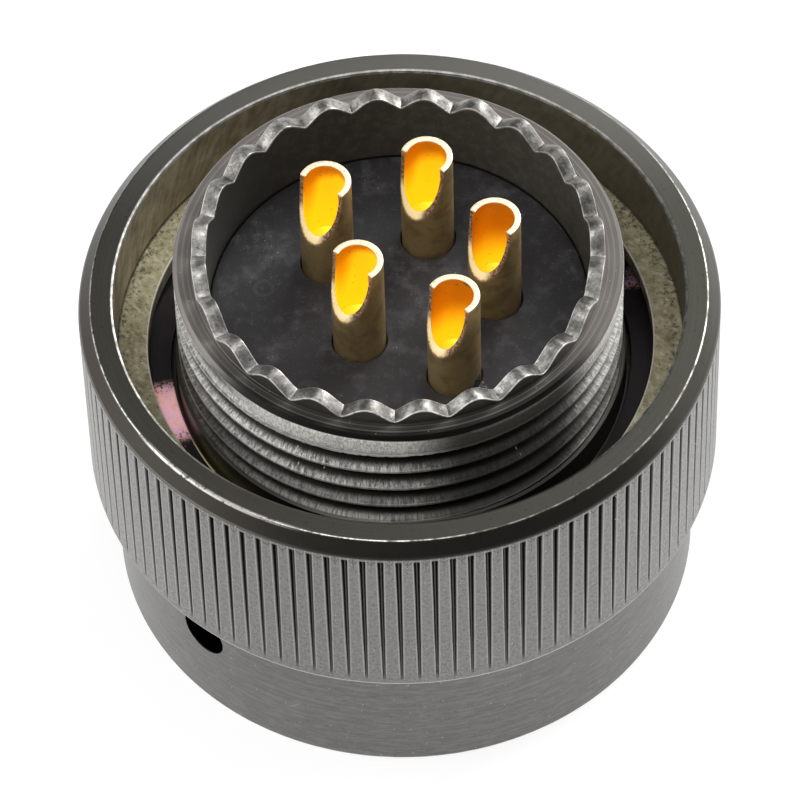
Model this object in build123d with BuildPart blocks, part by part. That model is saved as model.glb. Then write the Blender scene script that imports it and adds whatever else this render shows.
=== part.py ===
from build123d import *
from math import cos, radians, sin
import os

# Bayonet circular plug, standing on its mating end, solder cups up. Millimetres.
# Z is the common axis, z = 0 is the front face of the coupling nut, and the rear is up.

# Clearances
turning_gap = 0.10          # radial, between pieces that turn on each other
seat_gap = 0.03             # radial, between pieces that are fixed in each other
spring_gap = 0.02           # at each face of the wave spring
edge_break = 0.20           # chamfer on turned edges

# Coupling nut, outside
nut_length = 18.0
rim_radius = 14.10
rim_bevel_height = 0.62
rim_bevel_width = 0.51
rim_band = 0.13             # plain band between the bevel and the knurl
knurl_rise = 0.59           # the knurl stands out from the rim by this much
knurl_length = 9.60
knurl_count = 114
knurl_depth = 0.20
knurl_groove_width = 0.30
front_step = 0.46           # the plain front is smaller than the rim by this much
sight_hole_radius = 1.21
sight_hole_height = 5.10
sight_hole_angle = 225.5    # the one at the front left, degrees from +X

# Coupling nut, inside, from the rim inwards
rim_wall = 1.04
recess_depth = 3.50
chamber_step = 0.21         # from the recess wall in to the spring chamber
shoulder_width = 1.90       # the flange bears on this
ramp_count = 3
ramp_width = 2.90
ramp_overcut = 0.20         # how far the cutter stands in from the bore
ramp_outer_wall = 1.19
ramp_entry_depth = 1.40
ramp_sweep = 95.0           # degrees from the entry slot to the sight hole
detent_drop = 0.25          # the locked pin drops back this far

# Retaining ring in the nut
ring_thickness = 0.80
ring_width = 1.42           # the ledge that shows
ring_bite = 0.45            # how far the ring reaches into its groove
ring_split = 1.60           # gap where the ring springs shut

# Thrust washer and wave spring
washer_thickness = 0.35
washer_setback = 0.11       # the washer's bore is hidden behind the ring's
spring_height = 0.95
spring_thickness = 0.30
spring_inner_gap = 0.20     # radial, round the shell
spring_outer_gap = 0.45     # radial, in the chamber
spring_waves = 4

# Plug shell, from the nut's bore inwards
mating_gap = 1.50           # room for the mating shell between barrel and nut
barrel_length = 10.40
barrel_wall = 1.15
flange_thickness = 1.40
insert_step_height = 1.00   # shoulder in the bore, above the flange's front face
insert_step_width = 0.41
tooth_wall = 0.68
thread_step = 0.85          # from the toothed rim out to the thread's crest
spring_land_rise = 0.16     # the plain land under the thread is a little larger
threaded_length = 6.23
thread_pitch = 1.27         # one groove in each pitch, crest to crest
thread_depth = 0.70
thread_crest_width = 0.17   # flats between the grooves
thread_root_width = 0.33    # flat at a groove's bottom
body_length = 7.93          # from the flange to the thread's rear end
tooth_rim_height = 0.87
tooth_depth = 0.74
tooth_count = 24
tooth_first_angle = 5.2
tooth_flat = 0.32           # crest flat
tooth_root = 0.30           # valley flat

# Keys on the barrel, degrees from +X: one wide master key and four narrow ones
master_key_width = 2.40
minor_key_width = 1.50
key_height = 0.60
key_setback = 0.90          # from each end of the barrel's free length
master_key_angle = 90.0
minor_key_angles = (195.0, 230.0, 305.0, 355.0)

# Gasket in front of the flange
gasket_thickness = 1.00
gasket_width = 1.30

# Inserts
rear_insert_length = 5.08
plate_thickness = 1.20
front_insert_length = 9.60
socket_entry_depth = 0.70
socket_entry_clearance = 0.05

# Contacts: cup at the rear, collar in the retention plate, socket at the front
cup_length = 10.93          # from the collar's rear face
cup_radius = 1.21
cup_wall = 0.29
cup_bore_depth = 4.70
cup_hole_clearance = 0.12   # radial, in the rear insert
scoop_length = 3.30         # how far the cup's open side reaches down
scoop_offset = 0.28         # from the contact's axis to the open side, at the top
scoop_curve = 7.70          # radius of the open side's edge, seen from the side
collar_width = 0.39
collar_thickness = 0.70
socket_radius = 1.10
socket_wall = 0.30
socket_bore_depth = 6.00
socket_slot_width = 0.25
socket_slot_length = 3.60
socket_slot_angle = 45.0    # degrees from the X axis
hood_wall = 0.12
hood_length = 5.00

# Contact places in plan (x, y) and the way each cup's open side faces, degrees from +X
contacts = {
    "a": (-3.21, 2.52, -127.0),
    "b": (1.42, 3.78, -126.0),
    "c": (4.38, 0.08, -131.0),
    "d": (2.40, -4.24, -134.0),
    "e": (-1.86, -2.10, -133.0),
}

# Radii that follow, from the rim inwards
knurl_radius = rim_radius + knurl_rise
nut_front_radius = rim_radius - front_step
recess_radius = rim_radius - rim_wall
ring_outer_radius = recess_radius + ring_bite
ring_groove_radius = ring_outer_radius + seat_gap
ring_inner_radius = recess_radius - ring_width
chamber_radius = recess_radius - chamber_step
nut_bore_radius = chamber_radius - shoulder_width
ramp_floor_radius = nut_front_radius - ramp_outer_wall
flange_radius = chamber_radius - turning_gap
washer_outer_radius = chamber_radius - turning_gap
washer_inner_radius = ring_inner_radius + washer_setback
barrel_radius = nut_bore_radius - mating_gap
gasket_inner_radius = barrel_radius + seat_gap
gasket_outer_radius = gasket_inner_radius + gasket_width
front_bore_radius = barrel_radius - barrel_wall
rear_bore_radius = front_bore_radius + insert_step_width
tooth_radius = rear_bore_radius + tooth_wall
thread_radius = tooth_radius + thread_step
spring_land_radius = thread_radius + spring_land_rise
spring_inner_radius = spring_land_radius + spring_inner_gap
spring_outer_radius = chamber_radius - spring_outer_gap
cup_bore_radius = cup_radius - cup_wall
collar_radius = cup_radius + collar_width
socket_bore_radius = socket_radius - socket_wall
socket_entry_radius = socket_bore_radius + socket_entry_clearance
hood_inner_radius = socket_radius + seat_gap
hood_radius = hood_inner_radius + hood_wall

# Heights that follow, from the rim down to the flange and from there both ways along the shell
rim_bevel_bottom = nut_length - rim_bevel_height
knurl_top = rim_bevel_bottom - rim_band
knurl_bottom = knurl_top - knurl_length
ring_top = nut_length - recess_depth
ring_bottom = ring_top - ring_thickness
washer_bottom = ring_bottom - washer_thickness
flange_top = washer_bottom - spring_height
flange_bottom = flange_top - flange_thickness
gasket_bottom = flange_bottom - gasket_thickness
barrel_front = flange_bottom - barrel_length
thread_shoulder = flange_top + body_length
thread_front = thread_shoulder - threaded_length
tooth_crest = thread_shoulder + tooth_rim_height
insert_step = flange_bottom + insert_step_height
rear_insert_face = insert_step + rear_insert_length
plate_bottom = insert_step - plate_thickness
collar_bottom = insert_step - collar_thickness
front_insert_face = plate_bottom - front_insert_length
socket_tip = front_insert_face + socket_entry_depth
cup_top = insert_step + cup_length
contact_places = [(x, y) for x, y, _ in contacts.values()]

os.makedirs("parts", exist_ok=True)


def annulus(inner, outer, height):
    """Plain ring about Z, as a sketch at a height."""
    with BuildSketch(Plane.XY.offset(height)) as ring:
        Circle(outer)
        Circle(inner, mode=Mode.SUBTRACT)
    return ring.sketch


def outward_plane(angle, radius, height):
    """Plane that faces straight out from the Z axis at an angle in degrees."""
    outward = Vector(cos(radians(angle)), sin(radians(angle)), 0)
    return Plane(origin=outward * radius + Vector(0, 0, height), x_dir=(0, 0, 1), z_dir=outward)


# One bayonet ramp: entry slot at the front face, helical climb, pocket behind the sight hole
ramp_inner_radius = nut_bore_radius - ramp_overcut
ramp_reach = ramp_floor_radius - ramp_inner_radius
ramp_rise = sight_hole_height + detent_drop - ramp_entry_depth
with BuildPart() as bayonet_ramp:
    with BuildLine() as ramp_path:
        Helix(
            pitch=ramp_rise * 360 / ramp_sweep,
            height=ramp_rise,
            radius=ramp_inner_radius + ramp_reach / 2,
            center=(0, 0, ramp_entry_depth),
        )
    with BuildSketch(Plane(origin=ramp_path.line @ 0, x_dir=(1, 0, 0), z_dir=ramp_path.line % 0)):
        Rectangle(ramp_reach, ramp_width)
    sweep(is_frenet=True)
    with BuildSketch(
        outward_plane(0, ramp_inner_radius, ramp_entry_depth),
        outward_plane(ramp_sweep, ramp_inner_radius, sight_hole_height),
    ):
        Circle(ramp_width / 2)
    extrude(amount=ramp_reach)
    with BuildSketch(outward_plane(0, ramp_inner_radius, 0)):
        Rectangle(2 * ramp_entry_depth, ramp_width)
    extrude(amount=ramp_reach)

# Coupling nut
with BuildPart() as coupling_nut:
    with BuildSketch(Plane.XZ):
        with BuildLine():
            Polyline(
                (nut_bore_radius + edge_break, 0),
                (nut_front_radius - edge_break, 0),
                (nut_front_radius, edge_break),
                (nut_front_radius, knurl_bottom),
                (knurl_radius, knurl_bottom),
                (knurl_radius, knurl_top),
                (rim_radius + rim_bevel_width, rim_bevel_bottom),
                (rim_radius, nut_length),
                (recess_radius + edge_break, nut_length),
                (recess_radius, nut_length - edge_break),
                (recess_radius, ring_top + seat_gap),
                (ring_groove_radius, ring_top + seat_gap),
                (ring_groove_radius, ring_bottom - seat_gap),
                (chamber_radius, ring_bottom - seat_gap),
                (chamber_radius, flange_bottom),
                (nut_bore_radius, flange_bottom),
                (nut_bore_radius, edge_break),
                close=True,
            )
        make_face()
    revolve(axis=Axis.Z)

    # Straight knurl: V grooves along the axis
    with BuildSketch(Plane.XY.offset(knurl_bottom)):
        with PolarLocations(knurl_radius, knurl_count, start_angle=180 / knurl_count - 90):
            Polygon(
                (knurl_depth, -knurl_groove_width),
                (knurl_depth, knurl_groove_width),
                (-knurl_depth, 0),
                align=None,
            )
    extrude(amount=knurl_length, mode=Mode.SUBTRACT)

    # Bayonet ramps and their sight holes
    for turn in range(ramp_count):
        hole_angle = sight_hole_angle + turn * 360 / ramp_count
        add(bayonet_ramp.part, rotation=(0, 0, hole_angle - ramp_sweep), mode=Mode.SUBTRACT)
        with BuildSketch(outward_plane(hole_angle, nut_bore_radius, sight_hole_height)):
            Circle(sight_hole_radius)
        extrude(amount=knurl_radius - nut_bore_radius, mode=Mode.SUBTRACT)
coupling_nut.part.label = "coupling_nut"
export_step(coupling_nut.part, "parts/coupling_nut.step")

# Split ring that snaps into the groove in the nut's rear recess
with BuildPart() as nut_retaining_ring:
    extrude(annulus(ring_inner_radius, ring_outer_radius, ring_bottom), amount=ring_thickness)
    with BuildSketch(Plane.XY.offset(ring_bottom)):
        with Locations((0, recess_radius)):
            Rectangle(ring_split, 2 * (ring_outer_radius - ring_inner_radius))
    extrude(amount=ring_thickness, mode=Mode.SUBTRACT)
nut_retaining_ring.part.label = "nut_retaining_ring"
export_step(nut_retaining_ring.part, "parts/nut_retaining_ring.step")

# Flat washer under the ring
with BuildPart() as thrust_washer:
    extrude(annulus(washer_inner_radius, washer_outer_radius, washer_bottom), amount=washer_thickness)
thrust_washer.part.label = "thrust_washer"
export_step(thrust_washer.part, "parts/thrust_washer.step")

# Wave spring: a flat strip that rises and falls round the axis, lofted as two half turns
spring_mid_radius = (spring_inner_radius + spring_outer_radius) / 2
spring_mid_height = (flange_top + washer_bottom) / 2
wave_height = (spring_height - spring_thickness) / 2 - spring_gap
half_turn_steps = 5 * spring_waves      # five steps from each crest to the next trough
wave_step = 180 / half_turn_steps


def strip_plane(angle):
    """Plane across the spring's strip at an angle in degrees, at the wave's height there."""
    outward = Vector(cos(radians(angle)), sin(radians(angle)), 0)
    height = spring_mid_height + wave_height * cos(radians(spring_waves * angle))
    return Plane(
        origin=outward * spring_mid_radius + Vector(0, 0, height),
        x_dir=outward,
        z_dir=Vector(0, 0, 1).cross(outward),
    )


with BuildPart() as wave_spring:
    for half_turn in (0, 180):
        strip_angles = [half_turn + step * wave_step for step in range(half_turn_steps + 1)]
        with BuildSketch(*[strip_plane(angle) for angle in strip_angles]):
            Rectangle(spring_outer_radius - spring_inner_radius, spring_thickness)
        loft()
wave_spring.part.label = "wave_spring"
export_step(wave_spring.part, "parts/wave_spring.step")

# Plug shell: keyed barrel, flange, threaded body, toothed rear end
with BuildPart() as plug_shell:
    with BuildSketch(Plane.XZ):
        with BuildLine():
            Polyline(
                (front_bore_radius, barrel_front),
                (barrel_radius - edge_break, barrel_front),
                (barrel_radius, barrel_front + edge_break),
                (barrel_radius, flange_bottom),
                (flange_radius, flange_bottom),
                (flange_radius, flange_top),
                (spring_land_radius, flange_top),
                (spring_land_radius, thread_front),
                (thread_radius, thread_front),
                (thread_radius, thread_shoulder - edge_break),
                (thread_radius - edge_break, thread_shoulder),
                (tooth_radius, thread_shoulder),
                (tooth_radius, tooth_crest),
                (rear_bore_radius, tooth_crest),
                (rear_bore_radius, insert_step),
                (front_bore_radius, insert_step),
                close=True,
            )
        make_face()
    revolve(axis=Axis.Z)

    # Accessory thread, as one ring groove in each pitch
    root_radius = thread_radius - thread_depth
    groove_width = thread_pitch - thread_crest_width
    groove_spread = (groove_width - thread_root_width) / (2 * thread_depth)
    groove_over = thread_crest_width / 2
    groove_reach = groove_width / 2 + groove_over * groove_spread
    groove_count = int(threaded_length / thread_pitch)   # what is left behind them stays plain
    with BuildSketch(Plane.XZ):
        for groove in range(groove_count):
            groove_height = thread_front + (groove + 0.5) * thread_pitch
            Polygon(
                (root_radius, groove_height - thread_root_width / 2),
                (thread_radius + groove_over, groove_height - groove_reach),
                (thread_radius + groove_over, groove_height + groove_reach),
                (root_radius, groove_height + thread_root_width / 2),
                align=None,
            )
    revolve(axis=Axis.Z, mode=Mode.SUBTRACT)

    # V notches between the anti-rotation teeth
    tooth_pitch = 360 / tooth_count
    notch_width = radians(tooth_pitch) * tooth_radius - tooth_flat
    notch_spread = (notch_width - tooth_root) / (2 * tooth_depth)
    notch_over = tooth_depth / 2
    notch_planes = [
        outward_plane(tooth_first_angle + (tooth + 0.5) * tooth_pitch, rear_bore_radius / 2, tooth_crest)
        for tooth in range(tooth_count)
    ]
    with BuildSketch(*notch_planes):
        Polygon(
            (-tooth_depth, -tooth_root / 2),
            (-tooth_depth, tooth_root / 2),
            (notch_over, notch_width / 2 + notch_over * notch_spread),
            (notch_over, -notch_width / 2 - notch_over * notch_spread),
            align=None,
        )
    extrude(amount=tooth_radius, mode=Mode.SUBTRACT)

    # Keys along the barrel
    key_bottom = barrel_front + key_setback
    key_top = gasket_bottom - key_setback
    with BuildSketch(Plane.XY.offset(key_bottom)):
        with PolarLocations(barrel_radius, 1, start_angle=master_key_angle):
            Rectangle(2 * key_height, master_key_width)
        for key_angle in minor_key_angles:
            with PolarLocations(barrel_radius, 1, start_angle=key_angle):
                Rectangle(2 * key_height, minor_key_width)
    extrude(amount=key_top - key_bottom)
plug_shell.part.label = "plug_shell"
export_step(plug_shell.part, "parts/plug_shell.step")

# Rubber gasket on the barrel, against the flange
with BuildPart() as coupling_gasket:
    extrude(annulus(gasket_inner_radius, gasket_outer_radius, gasket_bottom), amount=gasket_thickness)
coupling_gasket.part.label = "coupling_gasket"
export_step(coupling_gasket.part, "parts/coupling_gasket.step")

# Rear insert, with a clearance hole round each cup
with BuildPart() as rear_insert:
    with BuildSketch(Plane.XY.offset(insert_step)):
        Circle(rear_bore_radius - seat_gap)
        with Locations(*contact_places):
            Circle(cup_radius + cup_hole_clearance, mode=Mode.SUBTRACT)
    extrude(amount=rear_insert_face - insert_step)
rear_insert.part.label = "rear_insert"
export_step(rear_insert.part, "parts/rear_insert.step")

# Retention plate: the contacts' collars drop into its pockets, under the rear insert
with BuildPart() as retention_plate:
    with BuildSketch(Plane.XY.offset(plate_bottom)):
        Circle(front_bore_radius - seat_gap)
        with Locations(*contact_places):
            Circle(socket_radius + seat_gap, mode=Mode.SUBTRACT)
    extrude(amount=plate_thickness)
    with BuildSketch(Plane.XY.offset(collar_bottom)):
        with Locations(*contact_places):
            Circle(collar_radius + seat_gap)
    extrude(amount=collar_thickness, mode=Mode.SUBTRACT)
retention_plate.part.label = "retention_plate"
export_step(retention_plate.part, "parts/retention_plate.step")

# Front insert: wide holes for the hooded sockets, narrow entries at the mating face
with BuildPart() as front_insert:
    with BuildSketch(Plane.XY.offset(front_insert_face)):
        Circle(front_bore_radius - seat_gap)
        with Locations(*contact_places):
            Circle(socket_entry_radius, mode=Mode.SUBTRACT)
    extrude(amount=plate_bottom - front_insert_face)
    with BuildSketch(Plane.XY.offset(socket_tip)):
        with Locations(*contact_places):
            Circle(hood_radius + seat_gap)
    extrude(amount=plate_bottom - socket_tip, mode=Mode.SUBTRACT)
front_insert.part.label = "front_insert"
export_step(front_insert.part, "parts/front_insert.step")

# Contacts and their hoods
for letter, (contact_x, contact_y, scoop_angle) in contacts.items():
    with BuildPart() as contact:
        with BuildSketch(Plane.XY.offset(socket_tip)):
            with Locations((contact_x, contact_y)):
                Circle(socket_radius)
        extrude(amount=collar_bottom - socket_tip)
        with BuildSketch(Plane.XY.offset(collar_bottom)):
            with Locations((contact_x, contact_y)):
                Circle(collar_radius)
        extrude(amount=collar_thickness)
        with BuildSketch(Plane.XY.offset(insert_step)):
            with Locations((contact_x, contact_y)):
                Circle(cup_radius)
        extrude(amount=cup_top - insert_step)
        with BuildSketch(Plane.XY.offset(cup_top)):
            with Locations((contact_x, contact_y)):
                Circle(cup_bore_radius)
        extrude(amount=-cup_bore_depth, mode=Mode.SUBTRACT)
        with BuildSketch(Plane.XY.offset(socket_tip)):
            with Locations((contact_x, contact_y)):
                Circle(socket_bore_radius)
        extrude(amount=socket_bore_depth, mode=Mode.SUBTRACT)
        with BuildSketch(Plane.XY.offset(socket_tip)):
            with Locations((contact_x, contact_y)):
                Rectangle(3 * socket_radius, socket_slot_width, rotation=socket_slot_angle)
                Rectangle(socket_slot_width, 3 * socket_radius, rotation=socket_slot_angle)
        extrude(amount=socket_slot_length, mode=Mode.SUBTRACT)

        # Scooped open side of the cup
        open_side = Vector(cos(radians(scoop_angle)), sin(radians(scoop_angle)), 0)
        scoop_plane = Plane(
            origin=(contact_x, contact_y, cup_top), x_dir=open_side, z_dir=open_side.cross(Vector(0, 0, 1))
        )
        with BuildSketch(scoop_plane):
            with BuildLine():
                RadiusArc((scoop_offset, 0), (cup_radius, -scoop_length), -scoop_curve)
                Polyline(
                    (cup_radius, -scoop_length),
                    (2 * cup_radius, -scoop_length),
                    (2 * cup_radius, cup_radius),
                    (scoop_offset, cup_radius),
                    (scoop_offset, 0),
                )
            make_face()
        extrude(amount=2 * cup_radius, both=True, mode=Mode.SUBTRACT)
    contact.part.label = f"contact_{letter}"
    export_step(contact.part, f"parts/contact_{letter}.step")

    with BuildPart() as contact_hood:
        hood_section = annulus(hood_inner_radius, hood_radius, socket_tip)
        extrude(hood_section.moved(Location((contact_x, contact_y, 0))), amount=hood_length)
    contact_hood.part.label = f"contact_hood_{letter}"
    export_step(contact_hood.part, f"parts/contact_hood_{letter}.step")
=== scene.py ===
from math import cos, pi, radians, sin, sqrt

import bmesh
import bpy
import numpy as np
from mathutils import Matrix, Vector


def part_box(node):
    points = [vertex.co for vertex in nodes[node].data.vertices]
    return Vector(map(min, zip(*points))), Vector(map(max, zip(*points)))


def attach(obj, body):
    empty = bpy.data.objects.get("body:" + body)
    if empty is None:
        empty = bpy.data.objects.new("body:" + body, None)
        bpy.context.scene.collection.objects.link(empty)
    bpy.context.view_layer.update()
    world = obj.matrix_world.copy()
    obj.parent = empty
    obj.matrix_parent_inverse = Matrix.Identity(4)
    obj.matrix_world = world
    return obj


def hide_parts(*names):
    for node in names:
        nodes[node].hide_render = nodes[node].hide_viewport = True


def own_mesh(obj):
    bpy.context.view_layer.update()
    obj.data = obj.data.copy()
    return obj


# Bayonet circular plug: refined surfaces, finishes, light and camera.
# Grids and sizes are in millimetres, about the plug's own axis, and become metres in surface().
# A name that ends in _r is a radius.
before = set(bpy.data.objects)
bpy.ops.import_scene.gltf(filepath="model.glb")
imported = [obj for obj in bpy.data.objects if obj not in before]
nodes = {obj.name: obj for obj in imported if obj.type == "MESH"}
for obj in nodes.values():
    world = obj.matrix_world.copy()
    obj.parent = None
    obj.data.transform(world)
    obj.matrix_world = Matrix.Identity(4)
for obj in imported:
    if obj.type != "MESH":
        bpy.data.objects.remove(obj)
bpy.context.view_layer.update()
MM = 0.001
TURN = 2 * pi


def corners_of(node):
    """Lowest and highest corner of a CAD node."""
    low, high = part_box(node)
    return np.array(low) / MM, np.array(high) / MM


# Sizes that the frame gives
nut_high = corners_of("coupling_nut")[1]
shell_low, shell_high = corners_of("plug_shell")
ring_low, ring_high = corners_of("nut_retaining_ring")
gasket_low, gasket_high = corners_of("coupling_gasket")
rear_low, rear_high = corners_of("rear_insert")
front_low, front_high = corners_of("front_insert")
spring_low, spring_high = corners_of("wave_spring")
LETTERS = "abcde"
boxes = {letter: corners_of(f"contact_{letter}") for letter in LETTERS}
centres = {letter: (low + high)[:2] / 2 for letter, (low, high) in boxes.items()}

# Coupling nut
knurl_r = nut_high[0]
nut_length = nut_high[2]
rim_r = 14.1
rim_wall = 1.04
bevel_low = nut_length - 0.62
bevel_r = rim_r + 0.51
knurl_top = bevel_low - 0.13
knurl_length = 9.6
knurl_low = knurl_top - knurl_length
knurl_count = 114
knurl_depth = 0.2
groove_span = 9.5
groove_floor_half = 0.03
groove_half = 0.15
groove_taper = 0.75
groove_point = 0.6  # power that rounds a groove's pointed foot
groove_foot = 0.45  # share of a groove's width just above that
groove_end = 0.09  # height of the wall at a groove's top
front_r = rim_r - 0.46
recess_r = rim_r - rim_wall
chamber_r = recess_r - 0.21
nut_bore_r = chamber_r - 1.9
groove_r = ring_high[0] + 0.03
ring_inner_r = recess_r - 1.42
ring_half_gap = 0.8
seat_gap = 0.03
flange_low = gasket_high[2]
ramp_half = 1.45
ramp_inner_r = nut_bore_r - 0.2
ramp_floor_r = front_r - 1.19
entry_depth = 1.4
ramp_sweep = radians(95)
sight_height = 5.1
sight_hole_r = 1.21
sight_hole_angle = radians(225.5)
detent_drop = 0.25
ramp_angles = [sight_hole_angle - ramp_sweep + turn * TURN / 3 for turn in range(3)]

# Plug shell
flange_r = shell_high[0]
flange_top = flange_low + 1.4
front_bore_r = front_high[0] + seat_gap
rear_r = rear_high[0] + seat_gap
step_height = rear_low[2]
barrel_r = gasket_high[0] - 1.3 - seat_gap
barrel_low = shell_low[2]
tooth_crest = shell_high[2]
tooth_depth = 0.74
tooth_count = 24
tooth_angle = radians(5.2)
tooth_r = rear_r + 0.68
thread_shoulder = tooth_crest - 0.87
thread_low = thread_shoulder - 6.23
thread_r = tooth_r + 0.85
thread_pitch = 1.27
thread_depth = 0.7
thread_root = 0.57  # its middle, as a share of the pitch above a crest's lower edge
thread_edge = 19.02  # a crest's lower edge at the plug's front
edge_angle = radians(-91)
thread_start = thread_edge + 0.6  # the last groove's middle
thread_run_out = 0.35  # heights over which the groove fades
thread_run_in = 0.22
chamfer = thread_shoulder - 0.2
land_r = thread_r + 0.16
spring_inner_r = land_r + 0.2
key_height = 0.6
key_low = barrel_low + 0.9
key_high = gasket_low[2] - 0.9
keys = ((90.0, 2.4), (195.0, 1.5), (230.0, 1.5), (305.0, 1.5), (355.0, 1.5))  # angle, width

# Contacts
cup_r = 1.21
cup_bore_r = 0.92
cup_wide_r = 1.04  # below the lip at its rim
cup_foot_step = 0.09  # extra wall at the foot of its cut
cut_lean = 0.85  # 1 cuts level across the wall, 0 along the radius
cup_bore_depth = 4.7
cup_plain_height = 18.6  # where the cup is a plain pin
scoop_length = 3.3
scoop_offset = 0.28
scoop_curve = 7.7
collar_r = 1.6
collar_bottom = step_height - 0.7
socket_tip = boxes["a"][0][2]
socket_r = 1.1
socket_bore_r = 0.8
socket_bore_depth = 6.00
slot_half_width = 0.125
slot_length = 3.6
slot_reach = 1.7
cup_hole_r = cup_r + 0.06
hood_hole_r = 1.28
entry_r = 0.85
scoop_angles = {"a": -127.0, "b": -126.0, "c": -131.0, "d": -134.0, "e": -133.0}
foot_crumb = (3.52, -4.98, 17.3, 0.42)  # x, y, height, size
cup_crumbs = {"d": (foot_crumb, (3.00, -3.44, 22.6, 0.2))}
# the cup's painted bounce light is orange down to about this depth, yellow below it
cup_orange = {"a": 0.9, "b": 1.3, "c": 3.3, "d": 2.9, "e": 0.6}  # how far down the gold is orange


def turned(radius, height, angle, centre=(0.0, 0.0)):
    """Grid of points: radius and height, by rows or by rows and columns, carried round the axis."""
    radius, height, angle = np.broadcast_arrays(
        np.reshape(radius, (len(radius), -1)), np.reshape(height, (len(height), -1)), angle)
    x = centre[0] + radius * np.cos(angle)
    y = centre[1] + radius * np.sin(angle)
    return np.stack([x, y, height], axis=-1)


def lathed(outline, angle, centre=(0.0, 0.0)):
    """Outline of (radius, height) points carried round the axis."""
    return turned(*np.transpose(outline), angle, centre)


def rounded(corners, steps=3, hold=0.03):
    """Closed outline through (radius, height, rounding) corners.

    Each corner is cut back by its rounding along both sides and bridged by a parabola,
    (1-s)^2 A + 2s(1-s) P + s^2 B, with one more point held just before and after it.
    """
    corners = np.array(corners, float)
    point, cut = corners[:, :2], corners[:, 2:]

    def side(shift):
        away = np.roll(point, shift, axis=0) - point
        length = np.linalg.norm(away, axis=1, keepdims=True)
        away = away / length
        start = point + away * cut
        return start, start + away * np.minimum(hold, 0.3 * length) * (cut > 0)

    (start, before), (end, after) = side(1), side(-1)
    share = np.linspace(0, 1, steps + 1)[None, :, None]
    bridge = ((1 - share) ** 2 * start[:, None] + 2 * share * (1 - share) * point[:, None]
              + share ** 2 * end[:, None])
    rows = np.concatenate([before[:, None], bridge, after[:, None]], axis=1).reshape(-1, 2)
    return np.concatenate([rows, rows[:1]])


def smooth(mesh, crease):
    """Smooth shading, but for creases."""
    mesh.polygons.foreach_set("use_smooth", np.ones(len(mesh.polygons), bool))
    mesh.set_sharp_from_angle(angle=radians(crease))


def surface(name, *grids, crease=32):
    """Object from grids of points: neighbours become quads, points that coincide become one.

    That closes seams and poles, and every closed shell is then turned to face outwards.
    """
    points, faces, start = [], [], 0
    for grid in grids:
        index = start + np.arange(grid[..., 0].size).reshape(grid.shape[:2])
        quads = np.stack([index[:-1, :-1], index[:-1, 1:], index[1:, 1:], index[1:, :-1]], axis=-1)
        points.append(grid.reshape(-1, 3) * MM)
        faces.append(quads.reshape(-1, 4))
        start += index.size
    mesh = bpy.data.meshes.new(name)
    mesh.from_pydata(np.concatenate(points), [], np.concatenate(faces))
    shape = bmesh.new()
    shape.from_mesh(mesh)
    bmesh.ops.remove_doubles(shape, verts=shape.verts, dist=2e-7)
    bmesh.ops.dissolve_degenerate(shape, edges=shape.edges, dist=1e-8)
    bmesh.ops.recalc_face_normals(shape, faces=shape.faces)
    shape.to_mesh(mesh)
    shape.free()
    smooth(mesh, crease)
    piece = bpy.data.objects.new(name, mesh)
    bpy.context.scene.collection.objects.link(piece)
    return piece


def carve(piece, *grids, operation="DIFFERENCE", crease=32):
    """Cuts the solids that the grids make out of the piece, or joins them on."""
    cutter = surface("cutter", *grids)
    change = piece.modifiers.new("carve", "BOOLEAN")
    change.operation, change.solver, change.object = operation, "MANIFOLD", cutter
    done = bpy.data.meshes.new_from_object(piece.evaluated_get(bpy.context.evaluated_depsgraph_get()))
    piece.modifiers.clear()
    done.name = piece.name
    piece.data = done
    bpy.data.objects.remove(cutter)
    smooth(done, crease)


def dress(piece, material):
    """Gives a piece one finish."""
    piece.data.materials.clear()
    piece.data.materials.append(material)


def even_angles(columns):
    """Angles once round the axis."""
    return np.linspace(0, TURN, columns + 1)


def capped(side):
    """A closed outline's side with a cap on its first and last column."""
    ends = [side[:, end] for end in (0, -1)]
    return [side, *(np.stack([edge, np.broadcast_to(edge[:-1].mean(axis=0), edge.shape)]) for edge in ends)]


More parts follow.
